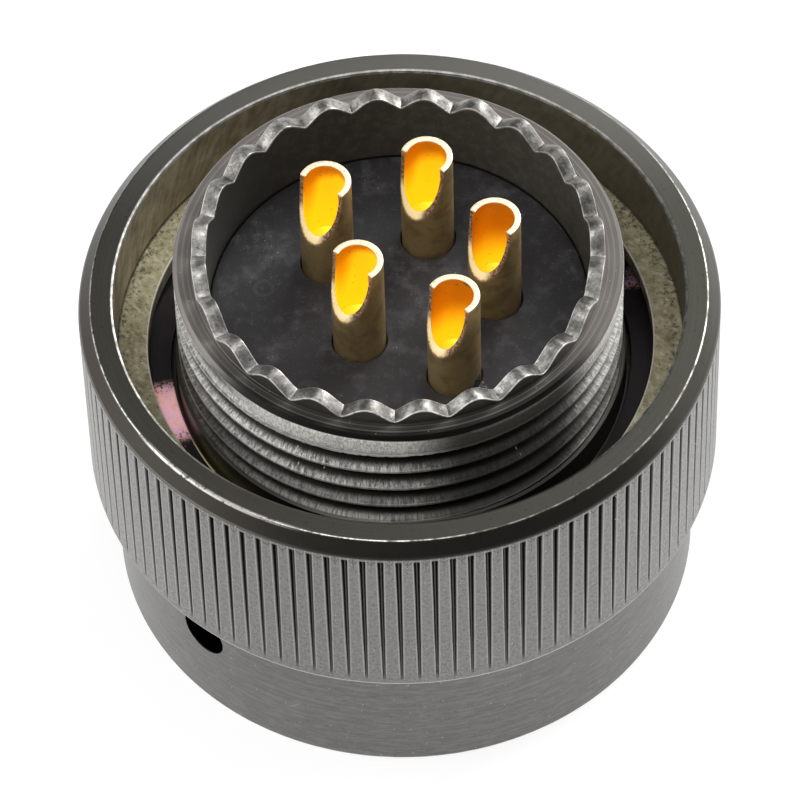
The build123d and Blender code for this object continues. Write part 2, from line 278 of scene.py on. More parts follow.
# Coupling nut
def nut_surface():
    """Outline of the nut carried round; on the knurl the radius loses the depth of its straight grooves.

    A groove is knurl_depth deep at its middle and rises along straight flanks. Its width starts at a point,
    as a power of the height above the knurl's foot, and then grows evenly up to the wall that ends it.
    """
    outline = rounded([
        (nut_bore_r, 0, 0.12), (front_r, 0, 0.16),
        (front_r, knurl_low, 0.05), (knurl_r, knurl_low, 0.07),
        (knurl_r, knurl_top, 0.05), (bevel_r, bevel_low, 0.05),
        (rim_r, nut_length, 0.045), (recess_r, nut_length, 0.13),
        (recess_r, ring_high[2] + seat_gap, 0.04),
        (groove_r, ring_high[2] + seat_gap, 0),
        (groove_r, ring_low[2] - seat_gap, 0),
        (chamber_r, ring_low[2] - seat_gap, 0),
        (chamber_r, flange_low, 0), (nut_bore_r, flange_low, 0),
    ], steps=2)
    # more rows where the grooves end
    above = np.array([0.12, 0.2, 0.3, 0.42, 0.56, 0.75, 3.0, 6.0, 9.0, 9.38, 9.41, 9.46, 9.5])
    wall = np.stack([np.full(len(above), knurl_r), knurl_low + above], axis=1)
    at = 1 + np.flatnonzero((outline[:, 0] == knurl_r) & (outline[:, 1] < knurl_low + 0.2))[-1]
    outline = np.concatenate([outline[:at], wall, outline[at:]])

    pitch = TURN * knurl_r / knurl_count
    across = np.array([0.03, 0.06, 0.09, 0.125, 0.155, 0.28])
    across = np.concatenate([across, pitch - across[::-1]])
    across = (np.arange(knurl_count)[:, None] * pitch + across).ravel()
    across = np.append(across, across[0] + pitch * knurl_count)
    angle = across / knurl_r - pi / 2 - pi / knurl_count
    from_groove = np.abs((across + pitch / 2) % pitch - pitch / 2)
    radius, height = outline[:, :1], outline[:, 1:]
    above = height - knurl_low
    point = np.clip(above / groove_taper, 0, 1) ** groove_point
    width = point * (groove_foot + (1 - groove_foot) * np.clip(above / groove_span, 0, 1))
    flank = np.clip((groove_half * width + 1e-6 - from_groove) / (groove_half - groove_floor_half), 0, 1)
    end_wall = np.clip((groove_span - above) / groove_end, 0, 1)
    grooved = (radius > bevel_r) & (above > 0) & (above < knurl_length)
    depth = knurl_depth * np.minimum(flank, point) * end_wall * grooved
    return turned(radius - depth, np.broadcast_to(height, depth.shape), angle)


def ramp_cutters():
    """Three bayonet ramps: a helical channel whose width closes as a circle at both ends."""
    middle_r = (ramp_inner_r + ramp_floor_r) / 2
    end_angle = ramp_half / middle_r
    share = (1 - np.cos(np.linspace(0, pi, 97))) / 2
    along = share * (ramp_sweep + 2 * end_angle) - end_angle
    past_end = np.maximum(np.maximum(-along, along - ramp_sweep), 0) * middle_r
    half = np.sqrt(np.maximum(ramp_half ** 2 - past_end ** 2, 0))
    rise = sight_height + detent_drop - entry_depth
    middle = entry_depth + rise * np.clip(along / ramp_sweep, 0, 1)
    height = middle + np.array([-1, 1, 1, -1, -1])[:, None] * half
    radius = np.array([ramp_inner_r] * 2 + [ramp_floor_r] * 2 + [ramp_inner_r])[:, None]
    return [turned(np.broadcast_to(radius, height.shape), height, along + first) for first in ramp_angles]


def block(radii, heights, angle, half):
    """Closed block between two radii and two heights, a half width to both sides of an angle."""
    (inner, outer), (low, high) = radii, heights
    return capped(lathed([(inner, low), (outer, low), (outer, high), (inner, high), (inner, low)],
                         np.linspace(angle - half, angle + half, 9)))


def entry_cutters():
    """Three slots from the nut's front face up to the ramps."""
    half = ramp_half / ((ramp_inner_r + ramp_floor_r) / 2)
    return [grid for first in ramp_angles
            for grid in block((ramp_inner_r, ramp_floor_r), (-1, entry_depth), first, half)]


def sight_hole(centre_angle):
    """Straight pin that points outwards at an angle, through the nut's wall."""
    angle = even_angles(48)
    distance = np.repeat([nut_bore_r - 0.5, front_r + 0.5], 2)[:, None]
    size = sight_hole_r * np.array([0, 1, 1, 0])[:, None]
    across, up = size * np.cos(angle), size * np.sin(angle)
    x = distance * cos(centre_angle) - across * sin(centre_angle)
    y = distance * sin(centre_angle) + across * cos(centre_angle)
    return np.stack([x, y, sight_height + up], axis=-1)


def make_nut():
    nut = surface("nut_body", nut_surface())
    carve(nut, *ramp_cutters())
    carve(nut, *entry_cutters())
    carve(nut, *(sight_hole(first + ramp_sweep) for first in ramp_angles))
    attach(nut, "nut")
    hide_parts("coupling_nut")
    dress(nut, nut_finish_and_light())


# Retaining ring and wave spring
def make_ring():
    """Rounded section carried round the axis, open at +Y, with a cap on each end."""
    inner, outer, low, high = ring_inner_r, ring_high[0], ring_low[2], ring_high[2]
    section = rounded([(inner, low, 0.05), (outer, low, 0.05), (outer, high, 0.05), (inner, high, 0.07)])
    half_gap = ring_half_gap / outer
    angle = np.linspace(pi / 2 + half_gap, pi / 2 + TURN - half_gap, 361)
    ring = surface("retaining_ring", *capped(lathed(section, angle)))
    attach(ring, "nut")
    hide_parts("nut_retaining_ring")
    dress(ring, ring_finish_and_shade())


def make_spring():
    """Flat strip round the axis whose height follows four waves, cos 4a, with rounded edges."""
    half, waves, edge = 0.15, 4, 0.06
    middle = (spring_low[2] + spring_high[2]) / 2
    swing = (spring_high[2] - spring_low[2]) / 2 - half
    inner, outer = spring_inner_r, spring_high[0]
    section = rounded([(inner, -half, edge), (outer, -half, edge), (outer, half, edge), (inner, half, edge)])
    angle = even_angles(240)
    height = middle + section[:, 1:] + swing * np.cos(waves * angle)
    spring = surface("wave_washer", turned(section[:, :1] + 0 * angle, height, angle))
    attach(spring, "shell")
    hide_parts("wave_spring")
    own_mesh(spring)
    dress(spring, spring_finish_and_sheen())


# Plug shell
def tooth_top(across):
    """Height of the toothed end: crest flat, straight flanks, rounded valley, from the distance to a crest."""
    knots = [0, 0.1, 0.2, 0.3, 0.42, 0.55, 0.92, 1.02, 1.1, 1.17, 1.23]
    fall = [0, 0.008, 0.032, 0.072, 0.14, 0.232, 0.55, 0.63, 0.688, 0.725, tooth_depth]
    return tooth_crest - np.interp(across, knots, fall)


def thread_profile(height, angle):
    """Radius of a right-hand thread: crest, flank, rounded root and flank over one pitch above a crest's edge."""
    phase = ((height - thread_edge) / thread_pitch - (angle - edge_angle) / TURN) % 1.0
    knots = [0, 0.03, 0.1, 0.134, 0.44, 0.49, thread_root, 0.65, 0.7, 0.97, 1.0]
    fall = [0.02, 0, 0, 0.02, 0.66, 0.69, thread_depth, 0.69, 0.66, 0.08, 0.02]
    run_out = np.clip((height - thread_low) / thread_run_out, 0, 1)
    middle = height + (thread_root - phase) * thread_pitch
    run_in = np.clip((thread_start - middle) / thread_run_in, 0, 1)
    cut = np.interp(phase, knots, fall) * run_out * run_in
    return thread_r - np.maximum(cut, np.maximum(height - chamfer, 0))


def shell_surface():
    """Rows from the bore over the teeth and down the outside; on the thread they climb with the helix."""
    tooth_arc = TURN / tooth_count
    across = np.array([0, 0.1, 0.2, 0.3, 0.42, 0.55, 0.74, 0.92, 1.02, 1.1, 1.17]) / tooth_r
    across = np.concatenate([across, [tooth_arc / 2], tooth_arc - across[:0:-1]])
    angle = tooth_angle + (np.arange(tooth_count)[:, None] * tooth_arc + across).ravel()
    angle = np.append(angle, angle[0] + TURN)
    from_crest = np.abs((angle - tooth_angle + tooth_arc / 2) % tooth_arc - tooth_arc / 2)

    def ring(radius, height):
        return np.stack(np.broadcast_arrays(radius + 0 * angle, height + 0 * angle))

    rows = [ring(front_bore_r, barrel_low + share * (step_height - barrel_low))
            for share in (0.02, 0.5, 0.98, 1.0)]
    rows += [ring(rear_r, step_height + above) for above in (0.0, 0.1, 4.0, 8.0)]
    for radius, below in ((rear_r, 0.15), (rear_r, 0.04), (rear_r + 0.015, 0.012),
                          (rear_r + 0.05, 0), (rear_r + 0.34, 0), (tooth_r - 0.05, 0),
                          (tooth_r - 0.015, 0.012), (tooth_r, 0.04), (tooth_r, 0.12)):
        rows.append(ring(radius, tooth_top(from_crest * radius) - below))
    rows += [ring(tooth_r, thread_shoulder + above) for above in (0.08, 0.02)]
    rows.append(ring(tooth_r + 0.02, thread_shoulder))
    crest = thread_profile(thread_shoulder + 0 * angle, angle)
    rows += [ring(tooth_r + share * (crest - tooth_r), thread_shoulder) for share in (0.2, 0.9)]

    # helical rows, from a pitch above the shoulder to a pitch below the front, held between the two
    phases = np.array([0.97, 0.84, 0.7, 0.65, thread_root, 0.49, 0.44, 0.29, 0.134, 0.1, 0.03, 0.0])
    first = int(np.ceil((thread_shoulder - thread_edge) / thread_pitch)) + 1
    turns = np.arange(first, -8, -1)
    start = (thread_edge + (turns[:, None] + phases) * thread_pitch).ravel()
    helix = start[:, None] + thread_pitch * (angle - edge_angle) / TURN
    helix = np.clip(helix, thread_low, thread_shoulder)
    rows += [np.stack([radius, height]) for radius, height in zip(thread_profile(helix, angle), helix)]

    lower = rounded([
        (land_r, thread_low, 0.03), (land_r, flange_top, 0.05), (flange_r, flange_top, 0.08),
        (flange_r, flange_low, 0.08), (barrel_r, flange_low, 0.05),
        (barrel_r, barrel_low, 0.15), (front_bore_r, barrel_low, 0.1),
    ])[:-1]
    rows += [ring(radius, height) for radius, height in lower]
    rows.append(rows[0])
    return turned(*np.swapaxes(rows, 0, 1), angle)


def make_shell():
    shell = surface("shell_body", shell_surface(), crease=38)
    radii = (barrel_r - 0.3, barrel_r + key_height)
    carve(shell, *(grid for angle, width in keys
                   for grid in block(radii, (key_low, key_high), radians(angle), width / 2 / barrel_r)),
          operation="UNION", crease=38)
    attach(shell, "shell")
    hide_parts("plug_shell")
    dress(shell, shell_finish_and_light())


# Inserts and gasket
def insert_surface(name, outline, hole):
    """Turned disc from an outline of (radius, height) points, with the same turned hole at each contact."""
    insert = surface(name, lathed(outline, even_angles(180)))
    carve(insert, *(lathed(hole, even_angles(64), centre) for centre in centres.values()))
    return insert


def make_rear_insert():
    edge, (radius, _, top), bottom = 0.12, rear_high, rear_low[2]
    insert = insert_surface(
        "rear_face_insert",
        [(0, bottom), (radius - edge, bottom), (radius, bottom + edge), (radius, top - edge),
         (radius - 0.35 * edge, top - 0.3 * edge), (radius - edge, top), (radius - 0.4, top), (0, top)],
        [(0, bottom - 1), (cup_hole_r, bottom - 1), (cup_hole_r, top - 0.04),
         (cup_hole_r + 0.04, top + 0.01), (cup_hole_r + 0.04, top + 1), (0, top + 1)])
    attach(insert, "shell")
    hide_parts("rear_insert")
    dress(insert, insert_finish("rear_insert_rubber", (0.018, 0.017, 0.019), (0.032, 0.03, 0.032),
                                rings=((-6.21, 1.06, 0.42), (-4.25, -4.88, 0.5), (7.38, -1.62, 0.45))))


def make_front_insert():
    edge, (radius, _, top), bottom = 0.15, front_high, front_low[2]
    insert = insert_surface(
        "front_face_insert",
        [(0, bottom), (radius - edge, bottom), (radius, bottom + edge), (radius, top), (0, top)],
        [(0, bottom - 1), (entry_r + 0.25, bottom - 1), (entry_r + 0.25, bottom - 0.01),
         (entry_r, bottom + 0.22), (entry_r, socket_tip), (hood_hole_r, socket_tip),
         (hood_hole_r, top + 1), (0, top + 1)])
    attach(insert, "shell")
    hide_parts("front_insert")
    moulded = insert_finish("insert_plastic", (0.025, 0.025, 0.028), (0.045, 0.044, 0.047))
    dress(insert, moulded)
    dress(nodes["retention_plate"], moulded)


def make_gasket():
    inner, outer, low, high = barrel_r + seat_gap, gasket_high[0], gasket_low[2], gasket_high[2]
    section = rounded([(inner, low, 0.15), (outer, low, 0.2), (outer, high, 0.1), (inner, high, 0.1)])
    gasket = surface("sealing_gasket", lathed(section, even_angles(240)))
    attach(gasket, "shell")
    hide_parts("coupling_gasket")
    dress(gasket, insert_finish("gasket_rubber", (0.016, 0.016, 0.016), (0.028, 0.028, 0.028)))


# Contacts
def scoop_height(across):
    """Height of the scooped cut under the cup's top, from the distance towards the open side.

    The cut is an arc from (offset, 0) to (cup radius, -length) that bulges towards the axis.
    """
    half = np.array([cup_r - scoop_offset, -scoop_length]) / 2
    reach = sqrt(scoop_curve ** 2 - half @ half)
    normal = np.array([-half[1], half[0]]) / np.linalg.norm(half)
    centre = np.array([scoop_offset, 0]) + half + normal * reach
    inside = np.maximum(scoop_curve ** 2 - (across - centre[0]) ** 2, centre[1] ** 2)
    return np.where(across > scoop_offset, centre[1] - np.sqrt(inside), 0.0)


def contact_surface(letter):
    """Cup, collar and socket in one turned form from pole to pole.

    The rim follows the scooped cut, rounded across the wall. Its lip fades out by a smooth step towards the cut's
    foot, where the wall is thicker by the squared cosine from the cut's middle.
    """
    cup_top = boxes[letter][1][2]
    angle = even_angles(160)
    facing = np.cos(angle - radians(scoop_angles[letter]))

    def ring(radius, height):
        return np.stack([radius + 0 * angle, height + 0 * angle])

    def rim(radius, below):
        cut = scoop_height((cup_r + cut_lean * (radius - cup_r)) * facing)
        return ring(radius, cup_top + cut - below)

    floor = cup_top - cup_bore_depth
    rows = [ring(radius, floor + above) for radius, above in (
        (0, -0.12), (0.45, -0.05), (0.8, 0.02), (cup_wide_r, 0.15), (cup_wide_r, 0.7))]
    share = np.clip((cup_top - rim(cup_wide_r, 0)[1] - 0.05) / 0.3, 0, 1)
    wide = cup_wide_r - cup_foot_step * np.clip(facing, 0, 1) ** 2
    inner = cup_bore_r + (wide - cup_bore_r) * share * share * (3 - 2 * share)
    rows += [rim(wide, 0.35), rim(0.5 * inner + 0.5 * wide, 0.18)]
    rows += [rim(inner + share * (cup_r - inner), below) for share, below in (
        (0, 0.06), (0.05, 0.018), (0.18, 0.003), (0.5, 0), (0.82, 0.003), (0.95, 0.018), (1, 0.06), (1, 0.35))]
    rows += [ring(*row) for row in (
        (cup_r, cup_plain_height), (cup_r, step_height), (collar_r, step_height),
        (collar_r, collar_bottom), (socket_r, collar_bottom), (socket_r, socket_tip + 0.1),
        (socket_r - 0.1, socket_tip), (socket_bore_r + 0.08, socket_tip),
        (socket_bore_r, socket_tip + 0.08), (socket_bore_r, socket_tip + socket_bore_depth),
        (0, socket_tip + socket_bore_depth))]
    return turned(*np.swapaxes(rows, 0, 1), angle, centres[letter])


def make_contact(letter):
    """The contact's turned form, slotted crosswise from its tip into four tines."""
    contact = surface(f"solder_contact_{letter}", contact_surface(letter))
    near, far = slot_half_width, slot_reach
    cross = [(far, -near), (far, near), (near, near), (near, far), (-near, far), (-near, near), (-far, near),
             (-far, -near), (-near, -near), (-near, -far), (near, -far), (near, -near), (far, -near)]
    cross = cross @ np.array([[1, 1], [-1, 1]]) / sqrt(2)
    rows = ((0, -1), (1, -1), (1, slot_length), (0, slot_length))  # size, height over the tip
    carve(contact, np.stack([np.column_stack([size * cross + centres[letter],
                                              np.full(len(cross), socket_tip + height)]) for size, height in rows]))
    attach(contact, "shell")
    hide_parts(f"contact_{letter}")
    dress(contact, gold_finish_and_glow(letter))


# Finishes
class Value:
    """A socket of a graph. Arithmetic on it adds Math nodes; a | b is the higher of two."""

    def __init__(self, graph, socket):
        self.graph, self.socket = graph, socket

    def math(self, operation, *others, before=()):
        inputs = dict(enumerate((*before, self, *others)))
        return self.graph.node("Math", {"operation": operation}, inputs)

    def __add__(self, other): return self.math("ADD", other)
    def __sub__(self, other): return self.math("SUBTRACT", other)
    def __rsub__(self, other): return self.math("SUBTRACT", before=(other,))
    def __mul__(self, other): return self.math("MULTIPLY", other)
    def __truediv__(self, other): return self.math("DIVIDE", other)
    def __pow__(self, other): return self.math("POWER", other)
    def __or__(self, other): return self.math("MAXIMUM", other)
    def __abs__(self): return self.math("ABSOLUTE")
    __radd__, __rmul__ = __add__, __mul__

    def step(self, low, high, to_low=0, to_high=1):
        """Smooth step from low to high."""
        return self.graph.node("MapRange", {"interpolation_type": "SMOOTHSTEP"},
                               {0: self, 1: low, 2: high, 3: to_low, 4: to_high})

    def near(self, place, low, high):
        """Smooth step from low to high, both counted from a place."""
        return self.step(place + low, place + high)

    def band(self, centre, half, soft):
        """1 within a half width of a centre, falling to 0 over a soft edge."""
        return abs(self - centre).step(half + soft, half)

    def coats(self, *coats):
        """The colour under coats of (factor, colour), the last one on top."""
        colour = self
        for factor, coat in coats:
            colour = self.graph.mix(factor, colour, coat)
        return colour


class Graph:
    """Nodes of a finish or of the world, made from expressions."""

    def __init__(self, tree):
        self.tree = tree

    def node(self, kind, settings=None, inputs=None, output=0):
        """Adds a node, with its settings and the values or links of its sockets."""
        node = self.tree.nodes.new("ShaderNode" + kind)
        for key, value in (settings or {}).items():
            if key == "stops":
                ramp = node.color_ramp.elements
                while len(ramp) < len(value):
                    ramp.new(0.5)
                for stop, (position, colour) in zip(ramp, value):
                    stop.position, stop.color = position, (*colour, 1)
            else:
                setattr(node, key, value)
        self.feed(node, inputs or {})
        return Value(self, node.outputs[output])

    def feed(self, node, inputs):
        """Sets a node's sockets, or links values to them."""
        for key, value in inputs.items():
            if isinstance(value, Value):
                self.tree.links.new(value.socket, node.inputs[key])
            else:
                node.inputs[key].default_value = value

    def parts(self, vector):
        return [self.node("SeparateXYZ", {}, {0: vector}, output=axis) for axis in "XYZ"]

    def combine(self, x, y, z=0):
        return self.node("CombineXYZ", {}, {0: x, 1: y, 2: z})

    def mix(self, factor, first, second):
        """Colour between two, by a factor."""
        first, second = ((*colour, 1) if isinstance(colour, tuple) else colour for colour in (first, second))
        return self.node("Mix", {"data_type": "RGBA"}, {0: factor, 6: first, 7: second}, output=2)

    def ramp(self, value, *stops):
        """Colour by a value, through (position, colour) stops."""
        return self.node("ValToRGB", {"stops": stops}, {0: value})


class Finish(Graph):
    """A material: one Principled shader with what feeds it, in millimetres."""

    def __init__(self, name):
        self.material = bpy.data.materials.new(name)
        self.material.use_nodes = True
        super().__init__(self.material.node_tree)
        self.shader = self.tree.nodes["Principled BSDF"]
        place = self.node("TexCoord", output="Object")
        self.place = self.node("VectorMath", {"operation": "SCALE"}, {0: place, "Scale": 1 / MM})
        self.x, self.y, self.z = self.parts(self.place)
        self.plan = self.combine(self.x, self.y)
        self.r = (self.x * self.x + self.y * self.y) ** 0.5
        self.angle = self.x.math("ARCTAN2", self.y * -1)  # from the front
        self.aside = abs(self.angle)

    def noise(self, scale, detail=3, roughness=0.55, place=None):
        """Noise with so many waves a millimetre."""
        return self.node("TexNoise", {}, {"Vector": place or self.place, "Scale": scale, "Detail": detail,
                                          "Roughness": roughness})

    def cells(self, scale, place, feature="F1", output="Distance"):
        return self.node("TexVoronoi", {"voronoi_dimensions": "2D", "feature": feature},
                         {"Vector": place, "Scale": scale}, output=output)

    def draw(self, scale, place):
        """A random number for each flat Voronoi cell."""
        return self.node("SeparateColor", {}, {0: self.cells(scale, place, output="Color")})

    def specks(self, scale, size, share, place):
        """Round specks in a share of the cells."""
        chosen = self.draw(scale, place).step(1 - share, 1 - share + 0.01)
        return self.cells(scale, place).step(size, size * 0.4) * chosen

    def zone(self, radius, inner, outer, height, low, high):
        """Smooth steps of the distance from the axis near a radius and of the height near a height."""
        return self.r.near(radius, inner, outer) * self.z.near(height, low, high)

    def unrolled(self, radius):
        """Walls and flats as a plane: arc length, and height plus distance from the axis."""
        return self.combine(self.angle * radius, self.z + self.r)

    def turned_lines(self, per_mm):
        """Fine lines round the axis, as a lathe leaves them."""
        return self.noise(1, 2, 0.6, self.combine(self.angle * 1.5, (self.z + self.r) * per_mm))

    def crumb(self, x, y, height, size):
        """A lump of dark dirt round a place: where it lies, and its colour."""
        away = [self.x - x, self.y - y, self.z - height]
        away = (away[0] * away[0] + away[1] * away[1] + away[2] * away[2]) ** 0.5
        lump = (away + self.noise(3.5) * 0.25).near(size, 0.12, 0.06)
        light = self.noise(7, 4, 0.7).step(0.45, 0.62)
        return lump, self.mix(light, (0.008, 0.007, 0.008), (0.32, 0.3, 0.33))

    def bump(self, height, strength, distance):
        """Normal from a height, in millimetres."""
        return self.node("Bump", {}, {"Height": height, "Strength": strength, "Distance": distance * MM})

    def finish(self, **inputs):
        """Sets the shader's sockets by name."""
        self.feed(self.shader, {key.replace("_", " "): value for key, value in inputs.items()})
        return self.material


# Nut's finish, with painted light and shade
def nut_plating_and_light(f, skin, cloud, fine, lines):
    """Dark grey with turned lines, smears and pits, brown on the bevel with a painted dark reflection on it,
    strongest at the left, and a painted highlight at the rim's back.
    """
    smears = f.noise(1, 4, 0.7, f.combine(f.angle * knurl_r * 0.9, f.z * 4.5))
    smears = smears.step(0.46, 0.62) * f.z.near(knurl_low, 0.1, 0)
    pits = f.noise(4, 5, 0.75, skin).step(0.42, 0.33)
    # painted reflection: the bevel darkened as if it mirrored a dark room, most at the left
    bevel = f.zone(rim_r, 0.03, 0.08, bevel_low, -0.02, 0.03)
    # painted highlight: the rim's top lighter towards the back
    rim_back_highlight = f.y.step(3, 13) * f.z.near(nut_length, -0.06, -0.02)
    return f.mix(cloud, (0.116, 0.112, 0.109), (0.148, 0.144, 0.141)).coats(
        (lines.step(0.45, 0.7) * 0.5, (0.215, 0.209, 0.204)),
        (fine.step(0.52, 0.66) * 0.36, (0.26, 0.254, 0.248)),
        (f.z.step(knurl_top, bevel_low) * 0.6, (0.128, 0.125, 0.096)),
        (smears * 0.5, (0.215, 0.208, 0.203)),
        (pits * 0.6, (0.062, 0.059, 0.056)),
        (bevel * (0.35 + f.angle.band(-1.25, 0.6, 0.45) * 0.6), (0.046, 0.04, 0.035)),
        (rim_back_highlight * 0.9, (0.32, 0.315, 0.285)))


def nut_recess_and_shade(f, colour):
    """Olive brown with slanted streaks above the ring, painted darker as shade except towards the back left; below
    the ring and in the bore, painted near black as shade.
    """
    stains = f.noise(0.9, 5, 0.62)
    streaks = f.noise(1, 4, 0.62, f.combine(f.angle * recess_r * 2.6 + f.z * 1.2, f.z * 0.55))
    inside = f.ramp(stains * 0.5 + streaks * 0.5, (0.34, (0.17, 0.13, 0.075)), (0.5, (0.34, 0.285, 0.18)),
                    (0.66, (0.52, 0.46, 0.32)))
    # painted shade: the olive darkened all round but at the back left, where light falls
    inside = f.mix(f.angle.band(-1.95, 0.6, 0.45) * -0.74 + 0.74, inside, (0.08, 0.07, 0.048))
    ring_top = ring_high[2]
    olive = f.zone(recess_r, 0.12, 0.02, nut_length, -0.04, -0.14)
    olive = olive * f.z.near(ring_top, -0.1, 0)
    # painted shade: near black in the nut's bore and under the ring
    shade_in_bore = f.zone(front_r, -0.02, -0.12, flange_low, 1, 0)
    shade_under_ring = f.zone(recess_r, 0.05, 0, ring_top, 0, -0.1)
    return colour.coats((olive, inside), (shade_in_bore | shade_under_ring, (0.01, 0.01, 0.009))), olive


def knurl_wear_and_light(f, skin, colour):
    """Mottled, outlined lands, lighter at the sides as a painted reflection, between grooves painted dark as shade,
    with a feathered mark under each land's top.
    """
    pitch = TURN * knurl_r / knurl_count
    on_knurl = f.z.band((knurl_top + knurl_low) / 2, 4.8, 0.05)
    land = f.r.near(knurl_r, -0.035, -0.005) * on_knurl
    # painted shade: the knurl's grooves
    flank = f.r.band(knurl_r - 0.25, 0.15, 0.08) * on_knurl
    across = abs((f.angle * (knurl_count / TURN) + 0.5 + knurl_count).math("FRACT") - 0.5) * pitch
    above, fall = f.z - knurl_low, knurl_top - f.z
    half = (above * ((1 - groove_foot) / groove_span) + groove_foot) * groove_half
    mottle = f.noise(5, 5, 0.72, skin).step(0.36, 0.68)
    flecks = f.noise(11, 3, 0.7, f.combine(f.angle * knurl_r, (f.z + f.r) * 0.45)).step(0.5, 0.34)
    # painted reflection: lands and their outlines lighter away from the front
    side_reflection = f.aside.step(0.35, 1.2)
    outline = (pitch / 2 - half - across).band(0.03, 0.012, 0.035) * above.step(0.4, 1)
    ragged = f.noise(3, 4, 0.7, skin)
    length = 0.35 + f.noise(0.9, 1, 0.5, f.combine(f.angle * knurl_r, 0)) * 1.8
    stem = (across + (ragged - 0.5) * 0.06).band(0, 0.008, 0.018) * fall.step(length, length * 0.4)
    vee = (across + fall * 0.75 - 0.27).band(0, 0.012, 0.022)
    vee = vee * fall.step(0.06, 0.1) * fall.step(0.4, 0.3)
    marks = stem * ragged.step(0.4, 0.52) * 0.9 | vee * 0.9
    colour = colour.coats(
        (land * (0.42 + mottle * 0.56), f.mix(side_reflection, (0.262, 0.259, 0.251), (0.4, 0.395, 0.385))),
        (land * flecks * 0.65, (0.1, 0.099, 0.095)),
        (land * outline * (0.55 + side_reflection * 0.35), (0.42, 0.415, 0.4)),
        (land * marks * 0.9, (0.05, 0.049, 0.046)),
        # painted shade in the grooves, darkest on their flanks
        (flank, (0.055, 0.054, 0.051)),
        (flank * across.step(pitch / 2 - 0.022, pitch / 2 - 0.045) * 0.92, (0.014, 0.014, 0.013)),
        (f.specks(1.6, 0.14, 0.07, skin) * flank, (0.004, 0.004, 0.004)))
    return colour, land, mottle * land


def nut_wear(f, skin, cloud):
    """Where the plating is worn through: edges, dust and a few scratches."""
    broken = f.noise(1.7, 4, 0.7, skin).step(0.4, 0.6)
    rim_edge = f.r.band(rim_r, 0.022, 0.025) * f.z.band(nut_length, 0.03, 0.03) * broken
    thick_edge = f.r.band(rim_r, 0.07, 0.05) * f.z.band(nut_length, 0.07, 0.05)
    thick_edge = thick_edge * f.noise(3.2, 5, 0.75).step(0.36, 0.48)
    rim_edge = rim_edge | thick_edge * f.angle.band(-0.66, 0.22, 0.14) * 1.2
    inner_edge = f.r.band(recess_r + 0.05, 0.06, 0.04) * f.z.band(nut_length - 0.05, 0.08, 0.04)
    inner_edge = inner_edge * f.aside.step(0.5, 1.1)
    lip = f.z.band(knurl_low + 0.03, 0.045, 0.03) * f.r.near(knurl_r, -0.09, -0.03)
    foot_edge = f.z.band(0.06, 0.03, 0.05) * broken
    foot_edge = foot_edge * f.r.near(front_r, -0.24, -0.14)
    on_wall = f.r.near(front_r, -0.1, -0.05)
    off_bevel = 1 - f.z.band((bevel_low + nut_length) / 2, 0.33, 0.04)
    dust = f.specks(1.25, 0.045, 0.22, skin) * on_wall * off_bevel
    along = f.combine(f.angle * knurl_r * 0.25 + f.z * 0.25, (f.z - f.angle * knurl_r * 0.8) * 4)
    scratch = f.noise(1, 2, 0.5, along).step(0.735, 0.76) * on_wall * cloud.step(0.45, 0.6)
    scratch = scratch * f.z.near(knurl_top, 0, -0.1)
    return (rim_edge * 0.75 | inner_edge * (0.25 + broken * 0.6) | lip * 0.65 | foot_edge * 0.5 | dust * 0.6
            | scratch * 0.2)


def nut_finish_and_light():
    """Dark plating, worn on the knurl and edges, olive in the recess, with painted light and shade."""
    f = Finish("worn_nut_plating_painted_light")
    skin = f.unrolled(knurl_r)
    cloud, grain, fine, lines = f.noise(0.35, 4), f.noise(9, 3, 0.65), f.noise(26, 2, 0.6), f.turned_lines(9)
    colour, olive = nut_recess_and_shade(f, nut_plating_and_light(f, skin, cloud, fine, lines))
    colour, land, mottle = knurl_wear_and_light(f, skin, colour)
    colour = f.mix(nut_wear(f, skin, cloud), colour, (0.72, 0.7, 0.67))
    return f.finish(Base_Color=colour, Metallic=1 - olive * 0.65,
                    Roughness=0.34 + (grain - 0.5) * 0.16 + land * 0.08 + olive * 0.22,
                    Normal=f.bump(lines * 0.6 + fine * 0.45 + grain * 0.45 + mottle * 0.5, 0.25, 0.012))
